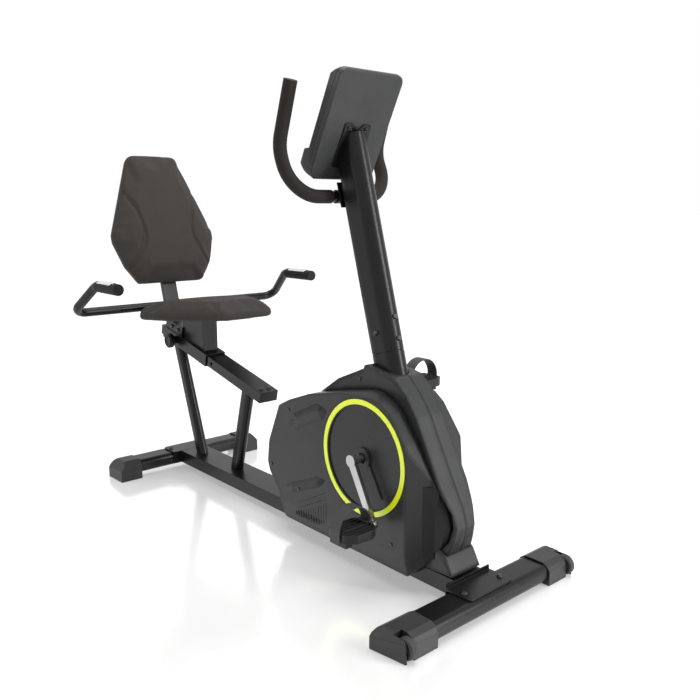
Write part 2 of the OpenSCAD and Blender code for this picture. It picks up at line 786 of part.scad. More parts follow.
// path of the front handlebar's left arm, from the end of the cross run up
front_bar_path = [
    [front_bar_x, front_bar_half, front_bar_z],
    [front_bar_x - 50, front_bar_half, front_bar_z + 114],
    [front_bar_x - 1, front_bar_half, front_bar_z + 256]
];
module handlebar() {
    color(steel) bike() bent_bar(front_bar_path, bar_d / 2, 2, front_bend);
}
foam_start_y = 40;
module handlebar_grips() {
    path = concat([[front_bar_x, foam_start_y, front_bar_z]], front_bar_path);
    tip = run_of(path, 2);
    closed = [path[0], path[1], path[2], path[3] + tip * 5];
    color(foam) bike() both_sides() difference() {
        bent_rod(closed, foam_d / 2, front_bend);
        bent_rod([path[0] - [0, 1, 0], path[1], path[2], path[3] + tip * fit_gap],
            bar_d / 2 + fit_gap, front_bend);
    }
}

console_wall = 2.5;
split_x = 14;
lens_w = 132;
lens_h = 84;
lens_z = -96;
button_z = -172;
button_r = 8;
button_pitch = 34;
module console_side(inset) {
    offset(r = 6 - inset) offset(delta = -6) polygon([
        [0, 0], [-console_t + 22, 0], [-console_t, -26], [-console_t, 66 - console_len],
        [-console_t - 15, 58 - console_len], [-console_t - 15, 22 - console_len],
        [-console_t + 10, -console_len], [0, -console_len]
    ]);
}
module console_plan(inset) {
    translate([0, -console_len / 2]) rounded(console_w - 2 * inset, console_len - 2 * inset, 22 - inset);
}
module console_block(inset) {
    intersection() {
        slab_y(inset - console_w / 2, console_w / 2 - inset) console_side(inset);
        translate([-80, 0, 0]) rotate([90, 0, 90]) linear_extrude(120) console_plan(inset);
    }
}
module console_shell() {
    difference() {
        console_block(0);
        console_block(console_wall);
    }
}
module console_back() {
    color(plastic) bike() console_frame() difference() {
        console_shell();
        translate([-split_x - 100, -200, -400]) cube([100, 400, 600]);
        console_screw_bores();
    }
}
module button_row() {
    for (i = [-1, 0, 1]) translate([-console_t, i * button_pitch, button_z]) rotate([0, 90, 0])
        children();
}
module console_face() {
    color(plastic) bike() console_frame() difference() {
        console_shell();
        translate([-split_x - fit_gap, -200, -400]) cube([100, 400, 600]);
        translate([-console_t - 1, -lens_w / 2 - fit_gap, lens_z - lens_h / 2 - fit_gap])
            cube([10, lens_w + 2 * fit_gap, lens_h + 2 * fit_gap]);
        button_row() cylinder(r = button_r + 0.4, h = 10, center = true);
    }
}
module console_lens() {
    color(dark) bike() console_frame()
        translate([-console_t - 0.4, -lens_w / 2, lens_z - lens_h / 2])
            cube([console_wall + 0.4, lens_w, lens_h]);
}
module console_button(i) {
    color(foam) bike() console_frame() translate([-console_t, i * button_pitch, button_z])
        rotate([0, 90, 0]) {
            translate([0, 0, -2.5]) cylinder(r = button_r, h = 8);
            translate([0, 0, console_wall + 0.5]) cylinder(r = button_r + 2, h = 2);
        }
}
module mode_button() { console_button(-1); }
module set_button() { console_button(0); }
module reset_button() { console_button(1); }
ear_y = 26;
ear_z = -136;
module console_screw_bores() {
    for (s = [-1, 1]) translate([0, s * ear_y, ear_z]) rotate([0, 90, 0])
        cylinder(r = screw_r + fit_gap, h = 20, center = true);
}
module console_bracket() {
    color(steel) bike() console_frame() difference() {
        translate([fit_gap, 0, 0]) rotate([90, 0, 90]) linear_extrude(bracket_plate)
            offset(r = 5) offset(delta = -5) polygon([
                [-ear_y - 14, ear_z + 12], [-ear_y + 10, ear_z + 12], [-ear_y + 20, ear_z],
                [ear_y - 20, ear_z], [ear_y - 10, ear_z + 12], [ear_y + 14, ear_z + 12],
                [44, ear_z - 100], [-44, ear_z - 100]
            ]);
        console_screw_bores();
    }
}

// ---- casing ----
half_case = casing_w / 2;
cover_half = 46;
seam_gap = fit_gap / 2;
// outlines of the casing in X and Z, heights counted from the crank axis
panel_points = [
    [-283, 89], [-332, 65], [-382, -47], [-398, -109], [-339, -180], [-318, -248], [150, -248],
    [212, -176], [230, -150], [238, -116], [234, -85], [220, -62], [184, -10], [138, 61],
    [89, 125], [60, 146], [30, 158], [-1, 160], [-91, 143], [-204, 118]
];
cover_points = [
    [-217, 112], [-141, 163], [-73, 192], [-46, 204], [-43, 216], [58, 196], [96, 162],
    [130, 116], [189, 4], [236, -84], [246, -119], [240, -150], [226, -190], [180, -200],
    [100, -100]
];
module panel_shape(inset) {
    translate([0, crank_z]) offset(r = 12 - inset) offset(delta = -12) polygon(panel_points);
}
module cover_shape(inset) {
    translate([0, crank_z]) offset(r = 10 - inset) offset(delta = -10) polygon(cover_points);
}
// the casing seen from above, narrowing to the front
module plan_shape(half, inset) {
    offset(delta = -inset) polygon([
        [-420, -half + 14], [-380, -half], [ring_d / 2 + 3, -half], [186, 14 - cover_half - 20],
        [226, 6 - cover_half], [254, 20 - cover_half], [254, cover_half - 20],
        [226, cover_half - 6], [186, cover_half + 6], [ring_d / 2 + 3, half], [-380, half],
        [-420, half - 14]
    ]);
}
module plan_block(half, inset) {
    translate([0, 0, -50]) linear_extrude(800) plan_shape(half, inset);
}
// the casing seen from the front, its sides falling in above the ring and below the rail
module front_block(inset) {
    top = crank_z + ring_d / 2 + 4;
    rotate([90, 0, 90]) translate([0, 0, -500]) linear_extrude(800) offset(delta = -inset) polygon([
        [-half_case + 12, 0], [-half_case, 90], [-half_case, top], [-cover_half, top + 22],
        [-cover_half, 700], [cover_half, 700], [cover_half, top + 22], [half_case, top],
        [half_case, 90], [half_case - 12, 0]
    ]);
}
module mast_hole() { mast_frame() translate([0, 0, -40]) linear_extrude(740) mast_section(-1); }
module rail_hole() {
    translate([-600, -rail_w / 2 - fit_gap, 0])
        cube([1000, rail_w + 2 * fit_gap, rail_top + fit_gap]);
}
ring_in = ring_d / 2 - ring_w;
disc_hole_r = ring_in - 4;
screw_r = 2;
screw_head_r = 4.5;
// casing screws: X, height from the crank axis, and the face that their heads lie on
screw_places = [
    [-290, 60, half_case], [-370, -110, half_case], [-60, 176, cover_half], [-250, -150, half_case],
    [100, -185, half_case]
];
module screw_bores() {
    for (p = screw_places) translate([p[0], 0, crank_z + p[1]]) rod_y(screw_r + fit_gap, 10, 200);
}
module panel() {
    difference() {
        intersection() {
            slab_y(seam_gap, half_case) panel_shape(0);
            plan_block(half_case, 0);
            front_block(0);
        }
        intersection() {
            slab_y(-1, half_case - casing_t) panel_shape(casing_t);
            plan_block(half_case, casing_t);
            front_block(casing_t);
        }
        translate([0, 0, crank_z]) rod_y(disc_hole_r, 0, half_case + 1);
        translate([0, 0, crank_z]) difference() {
            rod_y(ring_d / 2 + fit_gap, half_case - casing_t / 2, half_case + 1);
            rod_y(ring_in - fit_gap, half_case - casing_t, half_case + 2);
        }
        // the strip that the cover fills
        intersection() {
            slab_y(-1, cover_half + fit_gap) difference() {
                panel_shape(-5);
                translate([0, crank_z]) polygon([
                    [-500, 300], [-217, 108], [-120, 100], [60, 60], [205, -200], [100, -400], [-500, -400]
                ]);
            }
            plan_block(cover_half + fit_gap, 0);
        }
        screw_bores();
        mast_hole();
        rail_hole();
        boot_room();
    }
}
module panel_left() { color(plastic) bike() panel(); }
module panel_right() { color(plastic) bike() mirror([0, 1, 0]) panel(); }
module cover() {
    difference() {
        intersection() {
            slab_y(seam_gap, cover_half) cover_shape(0);
            plan_block(cover_half, 0);
        }
        intersection() {
            slab_y(-1, cover_half - casing_t) cover_shape(casing_t);
            plan_block(cover_half, casing_t);
        }
        slab_y(-2, half_case) panel_shape(-fit_gap);
        screw_bores();
        mast_hole();
        boot_room();
    }
}
module cover_left() { color(plastic) bike() cover(); }
module cover_right() { color(plastic) bike() mirror([0, 1, 0]) cover(); }
boot_half = 48;
boot_points = [[170, 64], [160, 120], [212, 118], [228, 106], [250, 67]];
module boot_room() {
    slab_y(-boot_half - fit_gap, boot_half + fit_gap) offset(delta = fit_gap) polygon(boot_points);
}
module front_boot() {
    color(plastic) bike() difference() {
        slab_y(-boot_half, boot_half) polygon(boot_points);
        // hollow, and open below and towards the mast
        slab_y(casing_t - boot_half, boot_half - casing_t)
            polygon([[100, 50], [100, 115], [209, 115], [225, 104], [245, 60]]);
    }
}
spoke_angles = [-153, -52];
module disc_cover() {
    difference() {
        union() {
            rod_y(ring_in, half_case - casing_t - 3 - fit_gap, half_case - casing_t - fit_gap);
            rod_y(26, half_case - casing_t - 3, half_case + 2);
            for (a = spoke_angles) rotate([0, -a, 0]) slab_y(half_case - casing_t - 3, half_case)
                polygon([[20, -13], [108, -1], [108, 1], [20, 13]]);
        }
        rod_y(axle_r + 3, 0, 200);
    }
}
module disc_covers() {
    color(plastic) bike() both_sides() translate([0, 0, crank_z]) disc_cover();
}
module accent_rings() {
    color(accent) bike() both_sides() translate([0, 0, crank_z]) difference() {
        rod_y(ring_d / 2, half_case - casing_t / 2 + fit_gap, half_case + 1.5);
        rod_y(ring_in, half_case - 5, half_case + 5);
    }
}

// ---- fasteners ----
module frame_bolts() {
    color(alloy) bike() {
        for (foot = [[front_foot_x, front_cap_h], [-back_foot_x, back_cap_h]], s = [-1, 1])
            translate([foot[0], s * saddle_bolt_y, tube_top(foot[1]) + saddle_t + 2 * fit_gap])
                bolt(24);
        on_slide() for (s = [-1, 1]) translate([-slide_bolt_x, s * slide_bolt_y, fit_gap])
            bolt(slide_h + 6);
        mast_frame() {
            for (h = mast_bolt_front_h) translate([mast_l / 2 + fit_gap, 0, h]) rotate([0, 90, 0])
                bolt(10);
            for (s = [-1, 1]) translate([0, s * (mast_r + fit_gap), mast_bolt_side_h])
                rotate([-90 * s, 0, 0]) bolt(10);
            at_clamp_bolts() translate([0, 0, clamp_wall + 2 * fit_gap]) bolt(12);
        }
    }
}
module cover_screws() {
    color(dark) bike() {
        both_sides() for (p = screw_places) translate([p[0], 0, crank_z + p[1]]) {
            rod_y(screw_r, p[2] - 12, p[2] + 1);
            rod_y(screw_head_r, p[2] + fit_gap, p[2] + 2);
        }
        console_frame() for (s = [-1, 1]) translate([bracket_plate + 2 * fit_gap, s * ear_y, ear_z])
            rotate([0, 90, 0]) {
                cylinder(r = screw_r, h = 16, center = true);
                cylinder(r = screw_head_r, h = 2);
            }
    }
}

// ---- drive ----
module bottom_bracket() {
    color(steel) bike() translate([0, 0, crank_z]) difference() {
        rod_y(shell_r, -shell_half, shell_half);
        rod_y(bearing_r - 2, -shell_half - 1, shell_half + 1);
        for (s = [-1, 1]) translate([0, s * (shell_half - bearing_w / 2 + 0.5), 0])
            rod_y(bearing_r, -bearing_w / 2 - 0.5, bearing_w / 2 + 0.5);
    }
}
module crank_bearings() {
    color(alloy) bike() translate([0, 0, crank_z]) for (s = [-1, 1])
        translate([0, s * (shell_half - bearing_w / 2), 0]) difference() {
            rod_y(bearing_r - run_gap, -bearing_w / 2, bearing_w / 2);
            rod_y(axle_r + run_gap, -bearing_w, bearing_w);
            for (f = [-1, 1]) translate([0, f * bearing_w / 2, 0]) difference() {
                rod_y(bearing_r - 3, -1, 1);
                rod_y(axle_r + 3, -2, 2);
            }
        }
}
module crank_axle() {
    color(alloy) bike() translate([0, 0, crank_z]) rod_y(axle_r, -crank_in - 6, crank_in + 6);
}
module drive_pulley() {
    color(dark) bike() translate([0, 0, crank_z]) difference() {
        union() {
            difference() {
                rod_y(pulley_d / 2, belt_y - pulley_w / 2, belt_y + pulley_w / 2);
                rod_y(pulley_d / 2 - 9, belt_y - pulley_w, belt_y - 2);
                rod_y(pulley_d / 2 - 9, belt_y + 2, belt_y + pulley_w);
            }
            rod_y(24, shell_half + 1, belt_y + pulley_w / 2);
            for (a = [0 : 60 : 300]) rotate([0, a, 0])
                translate([20, belt_y - 4, -3]) cube([pulley_d / 2 - 26, 8, 6]);
        }
        rod_y(axle_r + fit_gap / 2, 0, 100);
        for (a = [30 : 60 : 330]) rotate([0, a, 0]) translate([68, 0, 0]) rod_y(18, 0, 100);
    }
}
// point on the right crank arm's end, seen from the crank axis
pedal_dx = crank_len * cos(crank_angle);
pedal_dz = -crank_len * sin(crank_angle);
module crank_arm() {
    difference() {
        union() {
            rod_y(15, crank_in, crank_y);
            translate([pedal_dx, 0, pedal_dz]) rod_y(12, crank_in, crank_y);
            rotate([0, crank_angle, 0]) slab_y(crank_in + 1, crank_y - 1)
                polygon([[0, -11], [crank_len, -9], [crank_len, 9], [0, 11]]);
        }
        rod_y(axle_r + fit_gap / 2, crank_in - 1, crank_in + 6 + fit_gap);
        translate([pedal_dx, 0, pedal_dz]) rod_y(spindle_r + fit_gap / 2, crank_in - 1, crank_y + 1);
    }
}
// the right side as drawn, and the left side turned half a turn about the crank axis
module right_and_left() {
    translate([0, 0, crank_z]) mirror([0, 1, 0]) children();
    translate([0, 0, crank_z]) rotate([0, 180, 0]) children();
}
module crank_arms() { color(alloy) bike() right_and_left() crank_arm(); }
module pedal_spindles() {
    color(alloy) bike() right_and_left() translate([pedal_dx, 0, pedal_dz]) {
        rod_y(spindle_r, crank_in + 1, pedal_out - 12);
        rod_y(spindle_r + 2, crank_y + 1, crank_y + 5);
    }
}
bearing_bore = spindle_r + run_gap;
hub_r = 13;
module pedal_outline(inset) {
    mid = (pedal_in + pedal_out) / 2;
    translate([0, mid]) offset(r = 20 - inset) offset(delta = -20) polygon([
        [-pedal_l / 2, -pedal_w / 2], [pedal_l * 0.32, -pedal_w / 2], [pedal_l / 2, -pedal_w / 4],
        [pedal_l / 2, pedal_w / 4], [pedal_l * 0.32, pedal_w / 2], [-pedal_l / 2, pedal_w / 2]
    ]);
}
slot_x = -6;
// a left pedal on its axis
module pedal() {
    difference() {
        union() {
            translate([0, 0, -pedal_h / 2]) linear_extrude(pedal_h) pedal_outline(0);
            // counterweight under the tread
            translate([-18, pedal_out - 26, -pedal_h / 2 - 16]) cube([36, 18, 17]);
            rod_y(hub_r, pedal_in, pedal_out - 8);
        }
        translate([0, 0, pedal_h / 2 - 3]) linear_extrude(4) difference() {
            pedal_outline(5);
            for (x = [-30 : 12 : 30]) translate([x - 2, pedal_in]) square([4, pedal_w]);
        }
        rod_y(bearing_bore, pedal_in - 1, pedal_out - 11.5);
    }
}
// outline of the strap's arch seen along the foot, out from its inner face
module strap_profile(out) {
    mid = (pedal_in + pedal_out) / 2 + 2;
    half = pedal_w / 2 - 1 + out;
    low = -pedal_h / 2 - 14;
    top = strap_h - pedal_w / 2 - 4;
    translate([mid - half, low]) square([2 * half, top - low]);
    translate([mid, top]) circle(half);
}
module strap() {
    tread = hub_r + fit_gap;
    translate([slot_x - strap_w / 2, 0, 0]) rotate([90, 0, 90]) linear_extrude(strap_w) {
        difference() {
            strap_profile(strap_t);
            strap_profile(0);
            // the inner leg stops on the tread, and the outer leg below the pedal's edge
            translate([pedal_in - 20, -100]) square([60, 100 + tread]);
            translate([pedal_in + 40, -100]) square([100, 100 - pedal_h / 2 - 8]);
        }
        translate([pedal_in, tread]) square([14, strap_t]);
    }
}
module left_pedal_place() {
    bike() translate([-pedal_dx, 0, crank_z - pedal_dz]) children();
}
module right_pedal_place() {
    bike() translate([pedal_dx, 0, crank_z + pedal_dz]) mirror([0, 1, 0]) children();
}
module pedal_right() { color(dark) right_pedal_place() pedal(); }
module pedal_left() { color(dark) left_pedal_place() pedal(); }
module strap_right() { color(dark) right_pedal_place() strap(); }
module strap_left() { color(dark) left_pedal_place() strap(); }

// ---- flywheel and brake ----
module at_flywheel() { translate([flywheel_x, 0, flywheel_z]) children(); }
hub_in = 12;
module flywheel() {
    color(steel) bike() at_flywheel() difference() {
        union() {
            rod_y(flywheel_d / 2, -flywheel_t / 2, flywheel_t / 2);
            rod_y(11, -hub_in - 2, bracket_out - 3);
        }
        for (s = [-1, 1]) translate([0, s * (flywheel_t / 2), 0]) difference() {
            rod_y(flywheel_d / 2 - 22, -4, 4);
            rod_y(20, -5, 5);
        }
        rod_y(pin_r + run_gap, -50, 80);
    }
}
module flywheel_pulley() {
    color(alloy) bike() at_flywheel() difference() {
        rod_y(small_pulley_d / 2, belt_y - pulley_w / 2, belt_y + pulley_w / 2);
        rod_y(11 + fit_gap / 2, 0, 100);
    }
}
brake_pin_r = 4;
brake_dx = -62;
brake_dz = 108;
module flywheel_axle() {
    color(alloy) bike() at_flywheel() {
        rod_y(pin_r, -bracket_in - bracket_t - 3, bracket_out + bracket_t + 3);
        translate([brake_dx, 0, brake_dz]) rod_y(brake_pin_r, -bracket_in - bracket_t - 3, bracket_in - 3);
    }
}
module flywheel_brackets() {
    stand = flywheel_z - rail_top;
    color(steel) bike() at_flywheel() difference() {
        union() {
            slab_y(-bracket_in - bracket_t, -bracket_in) polygon([
                [-34, -stand], [34, -stand], [16, 8], [8, 16], [brake_dx + 14, brake_dz + 4],
                [brake_dx + 6, brake_dz + 10], [brake_dx - 10, brake_dz + 6],
                [brake_dx - 10, brake_dz - 8], [-16, 4]
            ]);
            slab_y(bracket_out, bracket_out + bracket_t)
                polygon([[-34, -stand + 8], [34, -stand + 8], [16, 12], [-16, 12]]);
            // foot that carries the outer plate out over the rail's edge
            translate([-34, -bracket_in - bracket_t, -stand]) cube([68, 78 + 2 * bracket_t, 4]);
            translate([-34, bracket_out, -stand]) cube([68, bracket_t, 10]);
        }
        rod_y(pin_r + fit_gap / 2, -100, 100);
        translate([brake_dx, 0, brake_dz]) rod_y(brake_pin_r + fit_gap / 2, -100, 100);
    }
}
module brake_arm() {
    inner = flywheel_d / 2 + 5;
    color(alloy) bike() at_flywheel() difference() {
        union() {
            slab_y(-13, 13) difference() {
                intersection() {
                    circle(inner + 5);
                    polygon([[0, 0], [-400, 0], [-75, 130]]);
                }
                circle(inner);
            }
            translate([brake_dx, 0, brake_dz]) rod_y(11, -13, 13);
        }
        translate([brake_dx, 0, brake_dz]) rod_y(brake_pin_r + run_gap, -20, 20);
        rod_y(inner, -20, 20);
    }
}
module belt_outline(grow) {
    hull() {
        circle(pulley_d / 2 + fit_gap + grow);
        translate([flywheel_x, flywheel_z - crank_z]) circle(small_pulley_d / 2 + fit_gap + grow);
    }
}
module drive_belt() {
    color(dark) bike() translate([0, 0, crank_z]) slab_y(belt_y - belt_w / 2, belt_y + belt_w / 2)
        difference() {
            belt_outline(belt_t);
            belt_outline(0);
        }
}

main_rail();
front_stabiliser();
back_stabiliser();
front_caps();
back_caps();
frame_bolts();
wheel_axles();
front_post();
back_post();
slide_rail();
slide_rail_caps();
mast_lower();
mast_upper();
bottom_bracket();
crank_bearings();
flywheel_brackets();
flywheel_axle();
panel_right();
panel_left();
cover_right();
cover_left();
front_boot();
disc_covers();
accent_rings();
cover_screws();
handlebar();
handlebar_grips();
handlebar_clamp();
console_back();
console_face();
console_lens();
console_bracket();
drive_belt();
brake_arm();
crank_axle();
drive_pulley();
crank_arms();
pedal_spindles();
pedal_right();
pedal_left();
strap_right();
strap_left();
flywheel();
flywheel_pulley();
wheel_right();
wheel_left();
carriage();
seat_base();
seat_cushion();
backrest_post();
backrest_shell();
back_cushion();
seat_handlebar();
seat_grips();
pulse_plates();
seat_bolts();
lock_knob();
mode_button();
set_button();
reset_button();
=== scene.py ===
import bpy
import json
import math
from mathutils import Matrix, Vector, noise


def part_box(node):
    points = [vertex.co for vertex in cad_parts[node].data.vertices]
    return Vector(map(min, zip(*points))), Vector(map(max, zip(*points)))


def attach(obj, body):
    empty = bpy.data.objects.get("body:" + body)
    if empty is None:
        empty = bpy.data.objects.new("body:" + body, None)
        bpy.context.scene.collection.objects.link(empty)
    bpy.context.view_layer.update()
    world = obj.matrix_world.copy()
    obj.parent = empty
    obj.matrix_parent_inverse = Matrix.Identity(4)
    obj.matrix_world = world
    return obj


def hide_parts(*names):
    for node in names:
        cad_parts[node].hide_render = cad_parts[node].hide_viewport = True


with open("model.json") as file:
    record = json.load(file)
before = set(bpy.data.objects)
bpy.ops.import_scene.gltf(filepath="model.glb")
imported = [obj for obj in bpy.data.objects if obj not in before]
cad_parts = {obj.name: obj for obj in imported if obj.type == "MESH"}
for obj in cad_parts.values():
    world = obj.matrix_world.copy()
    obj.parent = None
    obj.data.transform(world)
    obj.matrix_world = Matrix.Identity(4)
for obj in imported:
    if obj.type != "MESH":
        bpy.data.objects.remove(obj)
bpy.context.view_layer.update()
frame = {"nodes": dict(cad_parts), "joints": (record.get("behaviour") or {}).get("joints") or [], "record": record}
nodes = frame["nodes"]
scene = bpy.context.scene


# ---- places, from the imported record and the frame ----
def joint_place(name):
    return next(Vector(j["pos_m"]) for j in frame["joints"] if j["name"] == name)


CRANK = joint_place("crank_turn")


# ---- materials ----
MOTTLE_SCALE, MOTTLE_DETAIL = 14.0, 6.0
MOTTLE_FROM, MOTTLE_TO = 0.3, 0.72
SCUFF_SCALE = 120.0
WEAR_FROM, WEAR_TO = 0.54, 0.66    # how sharp an edge is where wear starts, and where it is full
GRAIN_DETAIL = 3.0
GRAIN_HEIGHT = 0.0006
WEAVE_WOBBLE = 1.2
EDGE_SAMPLES = 6
COAT_ROUGH = 0.12


def socket(shader, name, value):
    shader.inputs[name].default_value = value


def surface(name, colour, rough, metal=0.0, grain=900.0, depth=0.25, mottle=0.12, wear=0.0,
            edge=0.0015, coat=0.0, weave=0.0, rough_swing=0.08, specular=0.5):
    """A procedural finish: mottled colour and gloss, fine grain in bump, rounded and worn edges."""
    material = bpy.data.materials.new(name)
    material.use_nodes = True
    tree = material.node_tree
    shader = tree.nodes["Principled BSDF"]
    new, link = tree.nodes.new, tree.links.new
    place = new("ShaderNodeTexCoord")
    broad = new("ShaderNodeTexNoise")
    socket(broad, "Scale", MOTTLE_SCALE)
    socket(broad, "Detail", MOTTLE_DETAIL)
    link(place.outputs["Object"], broad.inputs["Vector"])
    ramp = new("ShaderNodeValToRGB")
    ramp.color_ramp.elements[0].position = MOTTLE_FROM
    ramp.color_ramp.elements[1].position = MOTTLE_TO
    ramp.color_ramp.elements[0].color = [c * (1 - mottle) for c in colour] + [1]
    ramp.color_ramp.elements[1].color = [min(1, c * (1 + mottle)) for c in colour] + [1]
    link(broad.outputs["Fac"], ramp.inputs["Fac"])
    tint = ramp.outputs["Color"]
    if wear:
        shape = new("ShaderNodeNewGeometry")
        edge_ramp = new("ShaderNodeValToRGB")
        edge_ramp.color_ramp.elements[0].position = WEAR_FROM
        edge_ramp.color_ramp.elements[1].position = WEAR_TO
        scuffs = new("ShaderNodeTexNoise")
        socket(scuffs, "Scale", SCUFF_SCALE)
        link(place.outputs["Object"], scuffs.inputs["Vector"])
        link(shape.outputs["Pointiness"], edge_ramp.inputs["Fac"])
        share = new("ShaderNodeMath")
        share.operation = "MULTIPLY"
        link(edge_ramp.outputs["Color"], share.inputs[0])
        link(scuffs.outputs["Fac"], share.inputs[1])
        scaled = new("ShaderNodeMath")
        scaled.operation = "MULTIPLY"
        scaled.inputs[1].default_value = wear
        link(share.outputs[0], scaled.inputs[0])
        worn = new("ShaderNodeMix")
        worn.data_type = "RGBA"
        link(scaled.outputs[0], worn.inputs["Factor"])
        link(tint, worn.inputs["A"])
        worn.inputs["B"].default_value = [min(1, c * 3 + 0.03) for c in colour] + [1]
        tint = worn.outputs["Result"]
    link(tint, shader.inputs["Base Color"])
    fine = new("ShaderNodeTexNoise")
    socket(fine, "Scale", grain)
    socket(fine, "Detail", GRAIN_DETAIL)
    link(place.outputs["Object"], fine.inputs["Vector"])
    gloss = new("ShaderNodeMapRange")
    gloss.inputs["To Min"].default_value = max(0.02, rough - rough_swing)
    gloss.inputs["To Max"].default_value = min(1, rough + rough_swing)
    link(broad.outputs["Fac"], gloss.inputs["Value"])
    link(gloss.outputs["Result"], shader.inputs["Roughness"])
    height = fine.outputs["Fac"]
    if weave:
        for axis in ("X", "Y", "Z"):
            wave = new("ShaderNodeTexWave")
            wave.bands_direction = axis
            socket(wave, "Scale", weave)
            socket(wave, "Distortion", WEAVE_WOBBLE)
            link(place.outputs["Object"], wave.inputs["Vector"])
            both = new("ShaderNodeMath")
            both.operation = "ADD"
            link(height, both.inputs[0])
            link(wave.outputs["Fac"], both.inputs[1])
            height = both.outputs[0]
    bump = new("ShaderNodeBump")
    socket(bump, "Strength", depth)
    socket(bump, "Distance", GRAIN_HEIGHT)
    link(height, bump.inputs["Height"])
    if edge:
        soft_edge = new("ShaderNodeBevel")
        soft_edge.samples = EDGE_SAMPLES
        socket(soft_edge, "Radius", edge)
        link(soft_edge.outputs["Normal"], bump.inputs["Normal"])
    link(bump.outputs["Normal"], shader.inputs["Normal"])
    socket(shader, "Metallic", metal)
    socket(shader, "Specular IOR Level", specular)
    if coat:
        socket(shader, "Coat Weight", coat)
        socket(shader, "Coat Roughness", COAT_ROUGH)
    return material


FINISHES = {
    "black_steel": dict(colour=(0.0045, 0.0045, 0.0047), rough=0.30, grain=700, depth=0.08,
                        wear=0.1, edge=0.002, specular=0.22),
    "dark_plastic": dict(colour=(0.026, 0.0264, 0.027), rough=0.42, grain=1600, depth=0.16,
                         wear=0.2, edge=0.004, specular=0.22),
    "black_plastic": dict(colour=(0.009, 0.009, 0.0095), rough=0.45, grain=1300, depth=0.2,
                          wear=0.2, edge=0.0015, specular=0.22),
    "cushion": dict(colour=(0.042, 0.036, 0.033), rough=0.7, grain=1500, depth=0.5, weave=260,
                    edge=0, mottle=0.08, specular=0.12),
    "foam": dict(colour=(0.020, 0.0175, 0.0165), rough=0.7, grain=650, depth=0.8, edge=0.003,
                 specular=0.12),
    "rubber": dict(colour=(0.018, 0.018, 0.018), rough=0.6, grain=800, depth=0.4, edge=0.001),
    "alloy": dict(colour=(0.36, 0.36, 0.37), rough=0.3, metal=1.0, grain=500, depth=0.12,
                  edge=0.0012),
    "bare_steel": dict(colour=(0.42, 0.42, 0.43), rough=0.32, metal=1.0, grain=900, depth=0.15,
                       edge=0.001),
    "zinc": dict(colour=(0.05, 0.05, 0.053), rough=0.35, metal=0.8, grain=900, depth=0.15,
                 edge=0.0012),
    "ring": dict(colour=(0.80, 0.92, 0.0), rough=0.3, grain=1200, depth=0.06, mottle=0.05,
                 edge=0.001, coat=0.4),
    "screen": dict(colour=(0.006, 0.008, 0.008), rough=0.1, grain=500, depth=0.02, mottle=0.05,
                   edge=0.001, coat=0.8, rough_swing=0.03),
    "plate": dict(colour=(0.72, 0.72, 0.73), rough=0.18, metal=1.0, grain=600, depth=0.08,
                  edge=0.001),
    "tyre": dict(colour=(0.016, 0.016, 0.016), rough=0.65, grain=700, depth=0.5, edge=0.0015),
}
materials = {name: surface(name, **facts) for name, facts in FINISHES.items()}
casing_finish = surface("casing_plastic",
                        **dict(FINISHES["dark_plastic"], edge=0.014, rough=0.36))
disc_finish = surface("disc_plastic", **dict(FINISHES["dark_plastic"], edge=0.002, rough=0.3,
                                             colour=(0.021, 0.0212, 0.0217)))
for entry in frame["record"]["subparts"]:
    node = nodes[entry["node"]]
    node.data.materials.clear()
    finish = materials[entry["material_slot"]]
    if entry["node"].startswith(("panel_", "cover_left", "cover_right", "front_boot")):
        finish = casing_finish
    elif entry["node"] == "disc_covers":
        finish = disc_finish
    node.data.materials.append(finish)


# ---- pieces built here ----
def piece(name, verts, faces, slot, body, smooth=True):
    """A mesh piece in one finish, which rides on body."""
    mesh = bpy.data.meshes.new(name)
    mesh.from_pydata([tuple(v) for v in verts], [], faces)
    mesh.update()
    made = bpy.data.objects.new(name, mesh)
    scene.collection.objects.link(made)
    mesh.materials.append(materials[slot])
    if smooth:
        mesh.polygons.foreach_set("use_smooth", [True] * len(mesh.polygons))
    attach(made, body)
    return made


def modified(obj, **settings):
    """Gives obj the mesh that it has after one more modifier."""
    kind = settings.pop("kind")
    modifier = obj.modifiers.new(kind, kind)
    for key, value in settings.items():
        setattr(modifier, key, value)
    shown = obj.evaluated_get(bpy.context.evaluated_depsgraph_get())
    mesh = bpy.data.meshes.new_from_object(shown)
    obj.modifiers.remove(modifier)
    obj.data = mesh


VOXEL = 0.005
START_ACROSS, START_THICK = 0.99, 0.92    # a pad starts smaller than its solid, and swells
HELD_SHARE = 0.22                         # the lowest part of a pad, fixed to its base
SMOOTHING = {"kind": "SMOOTH", "factor": 0.5, "iterations": 8}
CLOTH_STEPS = 20
CLOTH_PRESSURE, CLOTH_STRETCH, CLOTH_BEND, CLOTH_MASS = 4, 15, 12, 0.3
SWELL_CAP = 0.012
SEAM_WIDTH, SEAM_DEPTH = 0.0075, 0.007
CROWN_FROM = 0.35                         # the crown and seams begin at this share of the thickness
LUMPS, LUMP_SCALE = 0.0008, 9
PROUD = 0.013                             # how far the cover may rise above its solid


